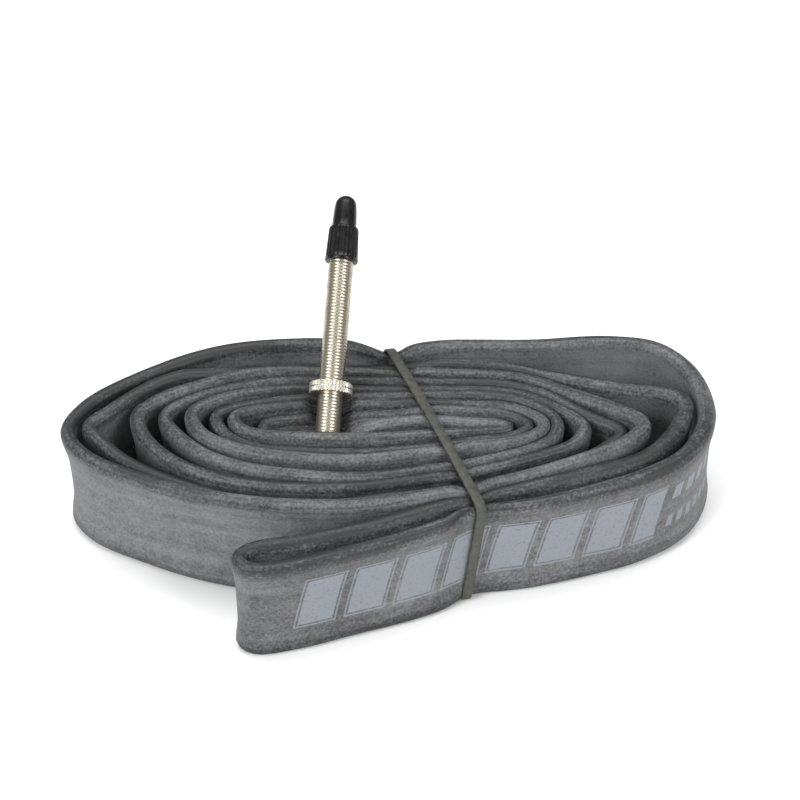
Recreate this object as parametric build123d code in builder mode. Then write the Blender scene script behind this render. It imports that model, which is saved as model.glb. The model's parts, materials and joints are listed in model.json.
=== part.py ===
"""A bicycle inner tube with a long Presta valve, emptied, folded double, coiled and banded.

Millimetres. The tube's loop is flattened to a strip standing on its lower edge, folded in
half, and rolled up from the valve outwards into an oval coil. Z is up. X runs along the
coil's long side. The origin is the centre of the base of the whole piece's box, on the
surface that the coil stands on. Distances along the valve are measured from its foot.
"""

import math
import os

import numpy as np
from build123d import *

# The emptied tube
tube_width = 28.0
tube_thick = 2.6
layer_gap = 0.4

# The opened-out saddle of the tube round the valve's foot
saddle_length = 36.0
saddle_thick = 8.6
saddle_floor = tube_width - 7.5
patch_thick = 2.5
patch_margin = 0.5

# The valve: where its foot stands in the coil, and how it leans
foot_x = -15.0
foot_height = saddle_floor + patch_thick + 1.1
valve_rise = 37.0
valve_turn = 5.2
stem_radius = 3.0
stem_length = 49.7
stem_bore = 1.6
stem_chamfer = 0.4
foot_collar_radius = stem_radius + 0.6
foot_collar_height = 1.2
boss_radius = foot_collar_radius + 0.5
boss_height = 1.7

# The knurled nut that holds the valve to a rim
nut_radius = stem_radius + 2.2
nut_height = 2.8
nut_place = 10.7
nut_groove = 0.35
nut_travel = 29.0
thread_clearance = 0.05

# The valve core
core_thread_radius = stem_radius - 0.5
core_thread_length = 4.0
core_head_radius = 2.05
core_head_height = 3.5
core_flats = 3.5
core_flats_height = 2.4
core_barrel_radius = 1.4
core_barrel_length = 7.0
gasket_thick = 0.7
pin_radius = 0.8
pin_clearance = 0.15
pin_above_nut = 2.1
lock_nut_radius = core_head_radius - 0.1
lock_nut_height = 2.2
lock_nut_gap = 0.1
seal_radius = core_barrel_radius - 0.1
seal_height = 1.0
seal_gap = 0.05
retainer_height = 0.8

# The dust cap, which screws on over the core
cap_place = stem_length - 6.2
cap_base_radius = stem_radius + 1.0
cap_skirt_radius = stem_radius + 0.55
cap_skirt_height = 8.7
cap_neck_radius = stem_radius + 0.05
cap_length = 16.7
cap_roof = 1.9
cap_hollow_radius = core_head_radius + 0.1
cap_tip_radius = cap_hollow_radius + 0.45

# The rubber band round the waist
band_width = 2.4
band_thick = 0.7
band_front = (20.8, -22.0)
band_back = (-0.5, 36.6)
band_foot_shift = -3.4
band_clearance = 0.15
band_corner = 2.5

# Hand-chosen turns of the doubled strip, from its outer fold inwards: first the strand that
# lies outside at every wrap, then the strand that lies inside it.
outer_strand = [
    (-33.6, -37.6), (-31, -40), (-22, -38.5), (-10, -34.5), (8, -27.7), (21, -20.8),
    (34, -18), (46, -14.5), (58, -10), (69, -2), (74.5, 9), (75, 18), (72, 29), (65, 37), (54, 39), (36, 38),
    (16, 37.5), (0, 35), (-16, 37.5), (-32, 36.5), (-48, 31.5), (-62, 23), (-72, 13),
    (-75, 5), (-70, -3), (-57, -10.5), (-40, -17), (-22, -20.5), (0, -20), (22, -13.5),
    (42, -6), (55, 1), (59.5, 7.5), (53, 12.5), (40, 18.5), (26, 24.5), (8, 27.5),
    (-10, 28.5), (-28, 27.5), (-44, 23), (-56, 17), (-60, 12), (-58, 5), (-50, -5),
    (-38, -12), (-22, -15), (-4, -14), (15, -10.5), (32, -5.5), (43, 0.5), (45.5, 6.5),
    (38, 13.6), (26, 18.4), (8, 21.2), (-10, 21.5), (-28, 20), (-42, 16.5), (-47, 12),
    (-44, 4), (-35, -1.5), (-20, -4.5), (0, -3.5), (17, 0), (31, 3.6), (36.5, 9), (29.5, 14.8),
    (12, 16), (-8, 16.5), (-26, 14.5), (-37, 10.5), (-35, 5), (-24, 1.5), (-8, 1.5),
    (9, 3.5), (21, 5.4), (28, 7), (30.3, 9.2), (28, 11.4), (20, 11.8), (8, 11.3), (-8, 9.5),
    (-20, 8), (-29, 7.5),
]
inner_strand = [
    (-31.5, -35), (-20, -32.4), (-4, -27.5), (14, -20), (30, -15), (48, -8.5), (60, -2.5),
    (67.5, 7), (70, 17), (66, 20.5), (52, 22.5), (38, 25.5), (20, 29.5), (0, 31),
    (-22, 31), (-42, 27.5), (-55, 23), (-66, 13), (-71.5, 7), (-68, 2), (-56, -7.5),
    (-42, -13.5), (-24, -17.5), (-4, -16.5), (16, -13), (36, -6.5), (50, 1), (54.5, 6.5),
    (46, 11), (30, 19.5), (12, 23.5), (-10, 25), (-30, 23.5), (-46, 19), (-53.5, 12),
    (-50, 5), (-42, -3), (-28, -9), (-10, -11), (10, -8), (28, -3), (37.5, 3), (38, 9),
    (28, 16.2), (12, 18.4), (-8, 19), (-26, 17), (-41, 12.5), (-39, 6), (-30, 0), (-14, -2),
    (6, 0.5), (22, 3.4), (34, 8.3), (31, 13), (14, 13.8), (-6, 13.5), (-22, 12.5),
    (-30, 11),
]
fold_allowance = 2.2
fold_radius = tube_thick / 2 + 0.4
fold_trim = 0.02
settle_rounds = 140
coarse_step = 1.6
fine_step = 0.5
longest_facet = 7.0
facet_angle = 9.0


def even_points(points, step):
    """Points at even spacing round a closed line."""
    ring = np.vstack([points, points[:1]])
    along = np.r_[0, np.cumsum(np.hypot(*np.diff(ring, axis=0).T))]
    places = np.linspace(0, along[-1], int(round(along[-1] / step)), endpoint=False)
    return np.c_[np.interp(places, along, ring[:, 0]), np.interp(places, along, ring[:, 1])]


def smooth_loop(points, step):
    """A closed centripetal Catmull-Rom curve through the points, evenly spaced."""
    points = np.array(points, float)
    count = len(points)
    curve = []
    for i in range(count):
        before, start, end, after = (points[(i + k) % count] for k in (-1, 0, 1, 2))
        first = math.sqrt(math.dist(before, start))
        middle = math.sqrt(math.dist(start, end))
        last = math.sqrt(math.dist(end, after))
        leave = (start - before) / first - (end - before) / (first + middle) + (end - start) / middle
        arrive = (end - start) / middle - (after - start) / (middle + last) + (after - end) / last
        for t in np.arange(0, 1, step / max(math.dist(start, end), 2 * step)):
            curve.append(
                (2 * t**3 - 3 * t**2 + 1) * start
                + (t**3 - 2 * t**2 + t) * middle * leave
                + (3 * t**2 - 2 * t**3) * end
                + (t**3 - t**2) * middle * arrive
            )
    return even_points(np.array(curve), step)


def saddle_bulge(points):
    """Half the thickness of the strip at each point: plain, and wider at the valve's saddle."""
    fold = np.argmin(np.hypot(*(points - outer_strand[-1]).T))
    away = math.dist(outer_strand[-1], (foot_x, outer_strand[-2][1]))
    along = (np.arange(len(points)) - fold) * coarse_step + away
    reach = np.clip(np.abs(along) / (saddle_length / 2), 0, 1)
    return tube_thick / 2 + (saddle_thick - tube_thick) / 2 * np.cos(reach * math.pi / 2) ** 2


def settle(home, half):
    """Pushes layers apart until each has layer_gap between it and the next."""
    count = len(home)
    index = np.arange(count)
    need = half[:, None] + half[None, :] + layer_gap
    apart = np.abs(index[:, None] - index[None, :])
    apart = np.minimum(apart, count - apart) * coarse_step
    distance = np.hypot(*(home[:, None, :] - home[None, :, :]).transpose(2, 0, 1))
    one, other = np.nonzero((apart > fold_allowance * need) & (distance < need + 3 * tube_thick))
    shift = np.zeros_like(home)
    for _ in range(settle_rounds):
        between = (home + shift)[one] - (home + shift)[other]
        length = np.maximum(np.hypot(*between.T), 1e-6)
        short = need[one, other] - length
        close = short > 0
        push = np.zeros_like(home)
        hits = np.ones(count)
        np.add.at(push, one[close], between[close] * (short / length)[close, None])
        np.add.at(hits, one[close], 1)
        shift += 0.8 * push / hits[:, None]
        shift = (np.roll(shift, 1, 0) + 4 * shift + np.roll(shift, -1, 0)) / 6
    return home + shift


def ease_folds(points):
    """Rounds off any fold tighter than fold_radius."""
    for _ in range(settle_rounds):
        pull = (np.roll(points, 1, 0) + np.roll(points, -1, 0)) / 2 - points
        tightness = 2 * np.hypot(*pull.T) / coarse_step**2 * fold_radius
        share = np.clip(tightness - 0.9, 0, 1)
        share = np.maximum(share, (np.roll(share, 1) + np.roll(share, -1)) / 2)
        points = points + 0.3 * share[:, None] * pull
    return points


def sides(points, half):
    """The strip's two faces in plan, as two closed lists of points."""
    ahead = np.roll(points, -1, 0) - np.roll(points, 1, 0)
    normal = np.c_[ahead[:, 1], -ahead[:, 0]] / np.hypot(*ahead.T)[:, None]
    turned = np.zeros(len(points), bool)
    heading = np.unwrap(np.arctan2(ahead[:, 1], ahead[:, 0]))
    last = 0
    for i in range(len(points)):
        bent = abs(heading[i] - heading[last]) > math.radians(facet_angle)
        if i == 0 or bent or (i - last) * fine_step > longest_facet:
            turned[i] = True
            last = i
    faces = []
    for side in (1, -1):
        face = (points + side * normal * half[:, None])[turned]
        away = np.hypot(*(face[:, None, :] - points[None, :, :]).transpose(2, 0, 1))
        least = np.minimum(half[turned][:, None], half[None, :])
        faces.append(face[(away > least - fold_trim).all(1)])
    return faces


def finer(values, count):
    """Values round a closed loop, read off at more places."""
    places = np.linspace(0, len(values), count, endpoint=False)
    return np.interp(places, np.arange(len(values) + 1), np.r_[values, values[:1]])


# The route of the strip through the coil, before the origin is moved to the base's centre
home = smooth_loop(outer_strand + inner_strand[::-1], coarse_step)
half = saddle_bulge(home)
route = settle(ease_folds(settle(home, half)), half)
saddle_index = int(np.argmax(half))
smooth_route = smooth_loop(route, fine_step)
smooth_half = finer(half, len(smooth_route))
face_one, face_two = sides(smooth_route, smooth_half)

# The valve's axis
lean = math.radians(valve_rise)
turn = math.radians(valve_turn)
rise = Vector(math.cos(lean) * math.sin(turn), math.cos(lean) * math.cos(turn), math.sin(lean))
saddle_middle = route[saddle_index]
foot_y = float(saddle_middle[1]) - 1.2

# The box of the whole piece, whose base's centre is the origin
coil_low = np.minimum(face_one.min(0), face_two.min(0))
coil_high = np.maximum(face_one.max(0), face_two.max(0))
cap_end = cap_place + cap_length
tip_reach = foot_y + rise.Y * (cap_end - cap_tip_radius) + cap_tip_radius
middle_x = float(coil_low[0] + coil_high[0]) / 2
middle_y = (float(coil_low[1]) + tip_reach) / 2
foot = Vector(foot_x - middle_x, foot_y - middle_y, foot_height)
side = Vector(math.cos(turn), -math.sin(turn), 0)
valve_axis = Axis(foot, rise)
profile_plane = Plane(origin=foot, x_dir=side, z_dir=side.cross(rise))


def moved(points):
    """Points of the coil's plan, from the finished piece's origin."""
    return [(float(x) - middle_x, float(y) - middle_y) for x, y in points]


def across_valve(distance):
    """The plane square to the valve at a distance from its foot."""
    return Plane(origin=foot + rise * distance, x_dir=side, z_dir=rise)


# Pieces of the saddle, in plan
along_saddle = route[saddle_index + 4] - route[saddle_index - 4]
saddle_angle = math.degrees(math.atan2(along_saddle[1], along_saddle[0]))
saddle_centre = (float(saddle_middle[0]) - middle_x, float(saddle_middle[1]) - middle_y)
saddle_plane = Plane(
    origin=(saddle_centre[0], saddle_centre[1], saddle_floor),
    x_dir=(math.cos(math.radians(saddle_angle)), math.sin(math.radians(saddle_angle)), 0),
    z_dir=(0, 0, 1),
)

# Planes of the rubber band
band_start = Vector(band_front[0] - middle_x, band_front[1] - middle_y, 0)
band_end = Vector(band_back[0] - middle_x, band_back[1] - middle_y, 0)
band_run = (band_end - band_start).normalized()
band_up = Vector(-band_foot_shift, 0, tube_width).normalized()
band_plane = Plane(
    origin=band_start + Vector(band_foot_shift, 0, 0),
    x_dir=band_run,
    z_dir=band_run.cross(band_up),
)
band_length = (band_end - band_start).length
band_height = tube_width / band_plane.y_dir.Z

os.makedirs("parts", exist_ok=True)

# The groove that the band presses into the coil
with BuildPart() as band_groove:
    with BuildSketch(band_plane):
        with Locations((band_length / 2, band_height / 2)):
            Rectangle(band_length + 6 * band_thick, band_height + 6 * band_thick)
            RectangleRounded(
                band_length - 2 * band_clearance,
                band_height - 2 * band_thick - 2 * band_clearance,
                band_corner,
                mode=Mode.SUBTRACT,
            )
    extrude(amount=band_width / 2 + band_clearance, both=True)

# The emptied tube, cleared round the valve's patch, stem and nut and under the band
with BuildPart() as inner_tube:
    with BuildSketch(Plane.XY):
        with BuildLine():
            Polyline(*moved(face_one), close=True)
        make_face()
        with BuildLine():
            Polyline(*moved(face_two), close=True)
        make_face(mode=Mode.SUBTRACT)
    extrude(amount=tube_width)
    with BuildSketch(saddle_plane):
        Ellipse(saddle_length / 2 + patch_margin, saddle_thick / 2 + patch_margin)
    extrude(amount=tube_width, mode=Mode.SUBTRACT)
    with BuildSketch(across_valve(-boss_height)):
        Circle(stem_radius + layer_gap)
    extrude(amount=stem_length, mode=Mode.SUBTRACT)
    with BuildSketch(across_valve(nut_place - layer_gap)):
        Circle(nut_radius + layer_gap)
    extrude(amount=nut_height + nut_travel, mode=Mode.SUBTRACT)
    add(band_groove.part, mode=Mode.SUBTRACT)

# The rubber patch that joins the valve's foot to the tube
with BuildPart() as valve_base_patch:
    with BuildSketch(across_valve(-boss_height)):
        Circle(boss_radius)
    extrude(amount=boss_height + foot_collar_height)
    with BuildSketch(saddle_plane):
        Ellipse(saddle_length / 2, saddle_thick / 2)
    extrude(amount=tube_width, mode=Mode.INTERSECT)
    with BuildSketch(saddle_plane):
        Ellipse(saddle_length / 2, saddle_thick / 2)
    extrude(amount=patch_thick)
    with BuildSketch(across_valve(0)):
        Circle(foot_collar_radius)
    extrude(amount=foot_collar_height, mode=Mode.SUBTRACT)
    with BuildSketch(across_valve(foot_collar_height)):
        Circle(stem_radius)
    extrude(amount=stem_length, mode=Mode.SUBTRACT)

# The stem: a threaded tube with a collar at its foot and a socket for the core at its top
socket_depth = core_thread_length + gasket_thick
with BuildPart() as valve_stem:
    with BuildSketch(profile_plane):
        with BuildLine():
            Polyline(
                (stem_bore, 0),
                (foot_collar_radius, 0),
                (foot_collar_radius, foot_collar_height),
                (stem_radius, foot_collar_height),
                (stem_radius, stem_length - stem_chamfer),
                (stem_radius - stem_chamfer, stem_length),
                (core_thread_radius, stem_length),
                (core_thread_radius, stem_length - socket_depth),
                (stem_bore, stem_length - socket_depth),
                close=True,
            )
        make_face()
    revolve(axis=valve_axis)

# The rim nut: a knurled ring with a groove between its two rows of knurls
with BuildPart() as rim_nut:
    nut_top = nut_place + nut_height
    nut_middle = nut_place + nut_height / 2
    with BuildSketch(profile_plane):
        with BuildLine():
            Polyline(
                (stem_radius + thread_clearance, nut_place),
                (nut_radius - nut_groove, nut_place),
                (nut_radius, nut_place + nut_groove),
                (nut_radius, nut_middle - nut_groove / 2),
                (nut_radius - nut_groove, nut_middle),
                (nut_radius, nut_middle + nut_groove / 2),
                (nut_radius, nut_top - nut_groove),
                (nut_radius - nut_groove, nut_top),
                (stem_radius + thread_clearance, nut_top),
                close=True,
            )
        make_face()
    revolve(axis=valve_axis)

# The dust cap: a ribbed skirt that screws on the stem, and a smooth domed end over the core
with BuildPart() as dust_cap:
    skirt_top = cap_place + cap_skirt_height
    dome_start = cap_end - cap_tip_radius
    with BuildSketch(profile_plane):
        with BuildLine():
            Polyline(
                (0, cap_end - cap_roof),
                (cap_hollow_radius, cap_end - cap_roof),
                (cap_hollow_radius, stem_length + 2 * thread_clearance),
                (stem_radius + thread_clearance, stem_length + 2 * thread_clearance),
                (stem_radius + thread_clearance, cap_place),
                (cap_base_radius, cap_place),
                (cap_skirt_radius, skirt_top),
                (cap_neck_radius, skirt_top),
                (cap_tip_radius, dome_start),
            )
            CenterArc((0, dome_start), cap_tip_radius, 0, 90)
            Line((0, cap_end), (0, cap_end - cap_roof))
        make_face()
    revolve(axis=valve_axis)

# The core's body: threaded into the stem, with a head cut flat on two sides for a wrench
core_seat = stem_length - core_thread_length
core_top = stem_length + core_head_height
with BuildPart() as core_body:
    with BuildSketch(profile_plane):
        with BuildLine():
            Polyline(
                (pin_radius + pin_clearance, core_seat - core_barrel_length),
                (core_barrel_radius, core_seat - core_barrel_length),
                (core_barrel_radius, core_seat),
                (core_thread_radius, core_seat),
                (core_thread_radius, stem_length),
                (core_head_radius, stem_length),
                (core_head_radius, core_top),
                (pin_radius + pin_clearance, core_top),
                close=True,
            )
        make_face()
    revolve(axis=valve_axis)
    with BuildSketch(across_valve(core_top - core_flats_height)):
        with Locations((0, core_flats), (0, -core_flats)):
            Rectangle(3 * core_head_radius, core_flats)
    extrude(amount=core_flats_height, mode=Mode.SUBTRACT)

# The gasket under the core's thread
with BuildPart() as core_gasket:
    with BuildSketch(across_valve(core_seat - gasket_thick)):
        Circle(core_thread_radius)
        Circle(core_barrel_radius, mode=Mode.SUBTRACT)
    extrude(amount=gasket_thick)

# The core's pin, which opens the valve when it is pressed
seal_top = core_seat - core_barrel_length - seal_gap
seal_foot = seal_top - seal_height
retainer_foot = seal_foot - retainer_height
lock_nut_foot = core_top + lock_nut_gap
pin_top = lock_nut_foot + lock_nut_height + pin_above_nut
with BuildPart() as core_pin:
    with BuildSketch(across_valve(retainer_foot)):
        Circle(pin_radius)
    extrude(amount=pin_top - retainer_foot)

# The rubber seal at the pin's lower end, and the cup that holds it
with BuildPart() as core_seal:
    with BuildSketch(across_valve(seal_foot)):
        Circle(seal_radius)
        Circle(pin_radius, mode=Mode.SUBTRACT)
    extrude(amount=seal_height)

with BuildPart() as seal_retainer:
    with BuildSketch(across_valve(retainer_foot)):
        Circle(core_barrel_radius)
        Circle(pin_radius, mode=Mode.SUBTRACT)
    extrude(amount=retainer_height)

# The small knurled nut that locks the pin shut
with BuildPart() as pin_lock_nut:
    with BuildSketch(across_valve(lock_nut_foot)):
        Circle(lock_nut_radius)
        Circle(pin_radius + thread_clearance, mode=Mode.SUBTRACT)
    extrude(amount=lock_nut_height)

# The flat rubber band
with BuildPart() as rubber_band:
    with BuildSketch(band_plane):
        with Locations((band_length / 2, band_height / 2)):
            RectangleRounded(band_length + 2 * band_thick, band_height, band_corner + band_thick)
            RectangleRounded(band_length, band_height - 2 * band_thick, band_corner, mode=Mode.SUBTRACT)
    extrude(amount=band_width / 2, both=True)

inner_tube.part.label = "inner_tube"
export_step(inner_tube.part, "parts/inner_tube.step")
valve_base_patch.part.label = "valve_base_patch"
export_step(valve_base_patch.part, "parts/valve_base_patch.step")
valve_stem.part.label = "valve_stem"
export_step(valve_stem.part, "parts/valve_stem.step")
rim_nut.part.label = "rim_nut"
export_step(rim_nut.part, "parts/rim_nut.step")
dust_cap.part.label = "dust_cap"
export_step(dust_cap.part, "parts/dust_cap.step")
core_body.part.label = "core_body"
export_step(core_body.part, "parts/core_body.step")
core_gasket.part.label = "core_gasket"
export_step(core_gasket.part, "parts/core_gasket.step")
core_pin.part.label = "core_pin"
export_step(core_pin.part, "parts/core_pin.step")
core_seal.part.label = "core_seal"
export_step(core_seal.part, "parts/core_seal.step")
seal_retainer.part.label = "seal_retainer"
export_step(seal_retainer.part, "parts/seal_retainer.step")
pin_lock_nut.part.label = "pin_lock_nut"
export_step(pin_lock_nut.part, "parts/pin_lock_nut.step")
rubber_band.part.label = "rubber_band"
export_step(rubber_band.part, "parts/rubber_band.step")
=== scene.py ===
"""A bicycle inner tube with a long thin valve, emptied, folded double, coiled and banded.

The tube, its valve, nut, cap and band are modelled here in metres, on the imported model's
frame. Shapes are worked out in millimetres and scaled as they are placed.
"""

import json
import math

import bpy
import numpy as np
from mathutils import Matrix, Vector, noise


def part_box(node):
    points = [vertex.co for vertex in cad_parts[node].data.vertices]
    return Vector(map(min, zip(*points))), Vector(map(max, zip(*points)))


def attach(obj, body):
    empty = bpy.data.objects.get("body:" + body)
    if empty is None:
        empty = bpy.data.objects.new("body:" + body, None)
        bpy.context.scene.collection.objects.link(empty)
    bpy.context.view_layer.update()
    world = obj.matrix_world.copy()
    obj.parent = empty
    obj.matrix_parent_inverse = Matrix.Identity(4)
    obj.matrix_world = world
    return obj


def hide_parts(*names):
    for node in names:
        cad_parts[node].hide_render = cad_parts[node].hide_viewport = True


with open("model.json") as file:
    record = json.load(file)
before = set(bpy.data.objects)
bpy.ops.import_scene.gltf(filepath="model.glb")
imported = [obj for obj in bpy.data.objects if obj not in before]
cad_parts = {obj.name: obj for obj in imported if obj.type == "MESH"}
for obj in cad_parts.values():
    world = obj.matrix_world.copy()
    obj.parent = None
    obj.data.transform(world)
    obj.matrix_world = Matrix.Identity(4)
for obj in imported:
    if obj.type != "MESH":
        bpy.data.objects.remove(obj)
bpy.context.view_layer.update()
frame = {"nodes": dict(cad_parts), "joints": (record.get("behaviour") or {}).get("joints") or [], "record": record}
bpy.ops.object.select_all(action="DESELECT")

MM = 0.001

# The emptied tube, and the room that its layers leave each other
tube_width = 28.0
tube_thick = 2.6
layer_gap = 0.4
rim_swell = 1.62
waist = 0.95
saddle_length = 36.0
saddle_thick = 8.6
foot_x = -15.0

# The valve
stem_radius = 3.0
stem_length = 49.7
thread_pitch = 25.4 / 32
nut_radius = 5.2
nut_height = 2.8
nut_place = 10.7
cap_place = 43.5

# The turns of the doubled strip, listed from its outer fold inwards: first the strand that
# lies outside at every wrap, then the strand that lies inside it.
outer_strand = [
    (-33.6, -37.6), (-31, -40), (-22, -38.5), (-10, -34.5), (8, -27.7), (21, -20.8), (34, -18),
    (46, -14.5), (58, -10), (69, -2), (74.5, 9), (75, 18), (72, 29), (65, 37), (54, 39), (36, 38),
    (16, 37.5), (0, 35), (-16, 37.5), (-32, 36.5), (-48, 31.5), (-62, 23), (-72, 13), (-75, 5),
    (-70, -3), (-57, -10.5), (-40, -17), (-22, -20.5), (0, -20), (22, -13.5), (42, -6), (55, 1),
    (59.5, 7.5), (53, 12.5), (40, 18.5), (26, 24.5), (8, 27.5), (-10, 28.5), (-28, 27.5), (-44, 23),
    (-56, 17), (-60, 12), (-58, 5), (-50, -5), (-38, -12), (-22, -15), (-4, -14), (15, -10.5),
    (32, -5.5), (43, 0.5), (45.5, 6.5), (38, 13.6), (26, 18.4), (8, 21.2), (-10, 21.5), (-28, 20),
    (-42, 16.5), (-47, 12), (-44, 4), (-35, -1.5), (-20, -4.5), (0, -3.5), (17, 0), (31, 3.6),
    (36.5, 9), (29.5, 14.8), (12, 16), (-8, 16.5), (-26, 14.5), (-37, 10.5), (-35, 5), (-24, 1.5),
    (-8, 1.5), (9, 3.5), (21, 5.4), (28, 7), (30.3, 9.2), (28, 11.4), (20, 11.8), (8, 11.3),
    (-8, 9.5), (-20, 8), (-29, 7.5),
]
inner_strand = [
    (-31.5, -35), (-20, -32.4), (-4, -27.5), (14, -20), (30, -15), (48, -8.5), (60, -2.5),
    (67.5, 7), (70, 17), (66, 20.5), (52, 22.5), (38, 25.5), (20, 29.5), (0, 31), (-22, 31),
    (-42, 27.5), (-55, 23), (-66, 13), (-71.5, 7), (-68, 2), (-56, -7.5), (-42, -13.5),
    (-24, -17.5), (-4, -16.5), (16, -13), (36, -6.5), (50, 1), (54.5, 6.5), (46, 11), (30, 19.5),
    (12, 23.5), (-10, 25), (-30, 23.5), (-46, 19), (-53.5, 12), (-50, 5), (-42, -3), (-28, -9),
    (-10, -11), (10, -8), (28, -3), (37.5, 3), (38, 9), (28, 16.2), (12, 18.4), (-8, 19), (-26, 17),
    (-41, 12.5), (-39, 6), (-30, 0), (-14, -2), (6, 0.5), (22, 3.4), (34, 8.3), (31, 13),
    (14, 13.8), (-6, 13.5), (-22, 12.5), (-30, 11),
]
fold_allowance = 2.2
fold_radius = tube_thick / 2 + 0.4
settle_rounds = 140
coarse_step = 1.6
station_step = 1.25


def even_points(points, step):
    """Points at even spacing round a closed line."""
    ring = np.vstack([points, points[:1]])
    along = np.r_[0, np.cumsum(np.hypot(*np.diff(ring, axis=0).T))]
    places = np.linspace(0, along[-1], int(round(along[-1] / step)), endpoint=False)
    return np.c_[np.interp(places, along, ring[:, 0]), np.interp(places, along, ring[:, 1])]


def smooth_loop(points, step):
    """A closed centripetal Catmull-Rom curve through the points, evenly spaced."""
    points = np.array(points, float)
    count = len(points)
    curve = []
    for i in range(count):
        before, start, end, after = (points[(i + k) % count] for k in (-1, 0, 1, 2))
        first = math.sqrt(math.dist(before, start))
        middle = math.sqrt(math.dist(start, end))
        last = math.sqrt(math.dist(end, after))
        leave = (start - before) / first - (end - before) / (first + middle) + (end - start) / middle
        arrive = (end - start) / middle - (after - start) / (middle + last) + (after - end) / last
        for t in np.arange(0, 1, step / max(math.dist(start, end), 2 * step)):
            curve.append(
                (2 * t**3 - 3 * t**2 + 1) * start
                + (t**3 - 2 * t**2 + t) * middle * leave
                + (3 * t**2 - 2 * t**3) * end
                + (t**3 - t**2) * middle * arrive
            )
    return even_points(np.array(curve), step)


def saddle_bulge(points):
    """Half the thickness of the strip at each point: plain, and wider at the valve's saddle."""
    fold = np.argmin(np.hypot(*(points - outer_strand[-1]).T))
    away = math.dist(outer_strand[-1], (foot_x, outer_strand[-2][1]))
    along = (np.arange(len(points)) - fold) * coarse_step + away
    reach = np.clip(np.abs(along) / (saddle_length / 2), 0, 1)
    return tube_thick / 2 + (saddle_thick - tube_thick) / 2 * np.cos(reach * math.pi / 2) ** 2


def settle(home, half):
    """Pushes layers apart until each has layer_gap between it and the next."""
    count = len(home)
    index = np.arange(count)
    need = half[:, None] + half[None, :] + layer_gap
    apart = np.abs(index[:, None] - index[None, :])
    apart = np.minimum(apart, count - apart) * coarse_step
    distance = np.hypot(*(home[:, None, :] - home[None, :, :]).transpose(2, 0, 1))
    one, other = np.nonzero((apart > fold_allowance * need) & (distance < need + 3 * tube_thick))
    shift = np.zeros_like(home)
    for _ in range(settle_rounds):
        between = (home + shift)[one] - (home + shift)[other]
        length = np.maximum(np.hypot(*between.T), 1e-6)
        short = need[one, other] - length
        close = short > 0
        push = np.zeros_like(home)
        hits = np.ones(count)
        np.add.at(push, one[close], between[close] * (short / length)[close, None])
        np.add.at(hits, one[close], 1)
        shift += 0.8 * push / hits[:, None]
        shift = (np.roll(shift, 1, 0) + 4 * shift + np.roll(shift, -1, 0)) / 6
    return home + shift


def ease_folds(points):
    """Rounds off any fold tighter than fold_radius."""
    for _ in range(settle_rounds):
        pull = (np.roll(points, 1, 0) + np.roll(points, -1, 0)) / 2 - points
        tightness = 2 * np.hypot(*pull.T) / coarse_step**2 * fold_radius
        share = np.clip(tightness - 0.9, 0, 1)
        share = np.maximum(share, (np.roll(share, 1) + np.roll(share, -1)) / 2)
        points = points + 0.3 * share[:, None] * pull
    return points


def finer(values, count):
    """Values round a closed loop, read off at more places."""
    places = np.linspace(0, len(values), count, endpoint=False)
    return np.interp(places, np.arange(len(values) + 1), np.r_[values, values[:1]])


def eased(values, reach):
    """Values round a closed loop, each averaged with its neighbours."""
    window = np.hanning(2 * reach + 3)[1:-1]
    ring = np.r_[values[-reach:], values, values[:reach]]
    return np.convolve(ring, window / window.sum(), "valid")


def least_nearby(values, reach):
    """The least of each value and its neighbours round a closed loop."""
    return np.min([np.roll(values, k) for k in range(-reach, reach + 1)], axis=0)


def wander(places, pace, seed):
    """A slow random wave round the loop, about -1 to 1."""
    wave = []
    for k, (x, y) in enumerate(places):
        drift = 0.37 * k / len(places)
        wave.append(1.8 * noise.noise(Vector((x * pace, y * pace, seed + drift))))
    return np.array(wave)


# ---------------------------------------------------------------- the strip's route
home = smooth_loop(outer_strand + inner_strand[::-1], coarse_step)
coarse_half = saddle_bulge(home)
route = settle(ease_folds(settle(home, coarse_half)), coarse_half)
stations = smooth_loop(route, station_step)
count = len(stations)
slab_half = finer(coarse_half, count)
opened = (slab_half - tube_thick / 2) / (saddle_thick - tube_thick) * 2
ahead = np.roll(stations, -1, 0) - np.roll(stations, 1, 0)
ahead = ahead / np.hypot(*ahead.T)[:, None]
right = np.c_[ahead[:, 1], -ahead[:, 0]]
heading = np.unwrap(np.arctan2(ahead[:, 1], ahead[:, 0]))
bend = (np.roll(heading, -1) - np.roll(heading, 1) + math.pi) % (2 * math.pi) - math.pi
bend = bend / (2 * station_step)
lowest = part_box("inner_tube")[0]
shift = np.array([lowest.x, lowest.y]) / MM - (stations.min(0) - tube_thick / 2)
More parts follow.
